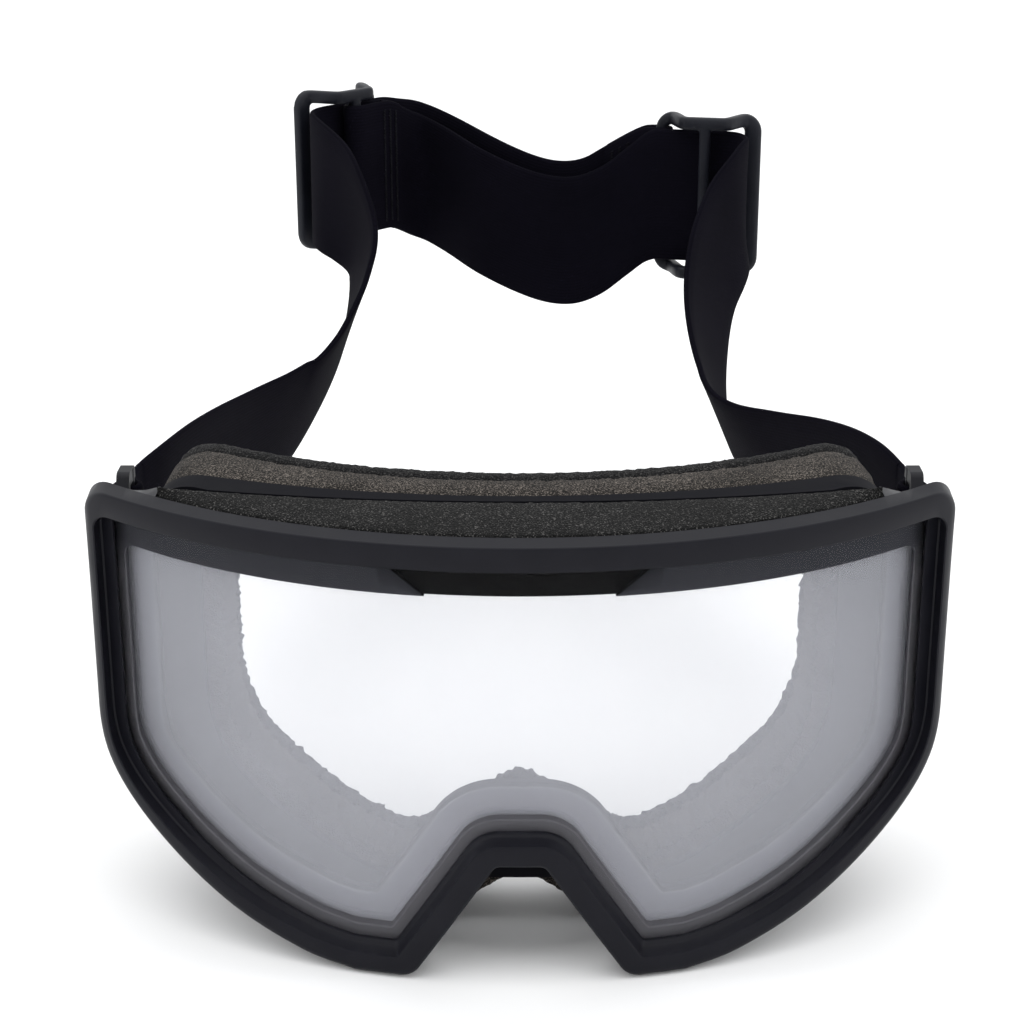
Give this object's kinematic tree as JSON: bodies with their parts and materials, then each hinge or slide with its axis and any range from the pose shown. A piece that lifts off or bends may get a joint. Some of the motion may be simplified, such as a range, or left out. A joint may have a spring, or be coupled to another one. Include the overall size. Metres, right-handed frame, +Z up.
{
  "type": "ski goggles",
  "caption": "Curved cylindrical-lens ski goggles with a flat-topped rim, vented top, layered face foam and an adjustable elastic head strap with sliding buckles.",
  "frame": {"origin": "middle of the nose bridge, on the front face of the rim", "axes": "+X across the goggles to the right in the front view, +Y from the front towards the back of the head, +Z up"},
  "size_m": [0.179, 0.3068, 0.1369],
  "materials": {
    "rim_plastic": "satin matte black",
    "chassis_plastic": "matte black",
    "lens_clear": "clear polished",
    "spacer_foam": "matte",
    "vent_foam": "open cell foam",
    "face_foam": "dense foam",
    "comfort_foam": "soft foam",
    "fleece": "brushed fleece",
    "pin_plastic": "satin",
    "clip_plastic": "satin",
    "webbing": "twill elastic webbing",
    "thread": "stitched thread",
    "slider_plastic": "satin"
  },
  "bodies": {
    "goggle": {"front_frame": "rim_plastic", "outer_lens": "lens_clear", "lens_spacer": "spacer_foam", "inner_lens": "lens_clear", "rear_frame": "chassis_plastic", "top_vent_foam": "vent_foam", "lower_vent_foam_left": "vent_foam", "lower_vent_foam_right": "vent_foam", "face_foam": "face_foam", "comfort_foam": "comfort_foam", "face_fleece": "fleece", "clip_pins": "pin_plastic"},
    "strap": {"strap_clip_left": "clip_plastic", "strap_clip_right": "clip_plastic", "strap_left": "webbing", "strap_right": "webbing", "end_tacks": "thread"},
    "left_adjuster": {"slider_left": "slider_plastic", "strap_loop_left": "webbing", "bar_tack_left": "thread"},
    "right_adjuster": {"slider_right": "slider_plastic", "strap_loop_right": "webbing", "bar_tack_right": "thread"}
  },
  "joints": [
    {"name": "strap_swing", "type": "hinge", "parent": "goggle", "child": "strap", "pos_m": [0, 0.056, 0.036], "axis": [1, 0, 0], "range_deg": [-30, 30]},
    {"name": "left_slider_adjust", "type": "slide", "parent": "strap", "child": "left_adjuster", "axis": [0.6816, 0.7317, 0], "range_m": [-0.002, 0.005]},
    {"name": "right_slider_adjust", "type": "slide", "parent": "strap", "child": "right_adjuster", "axis": [-0.9798, 0.2, 0], "range_m": [-0.002, 0.005]}
  ]
}
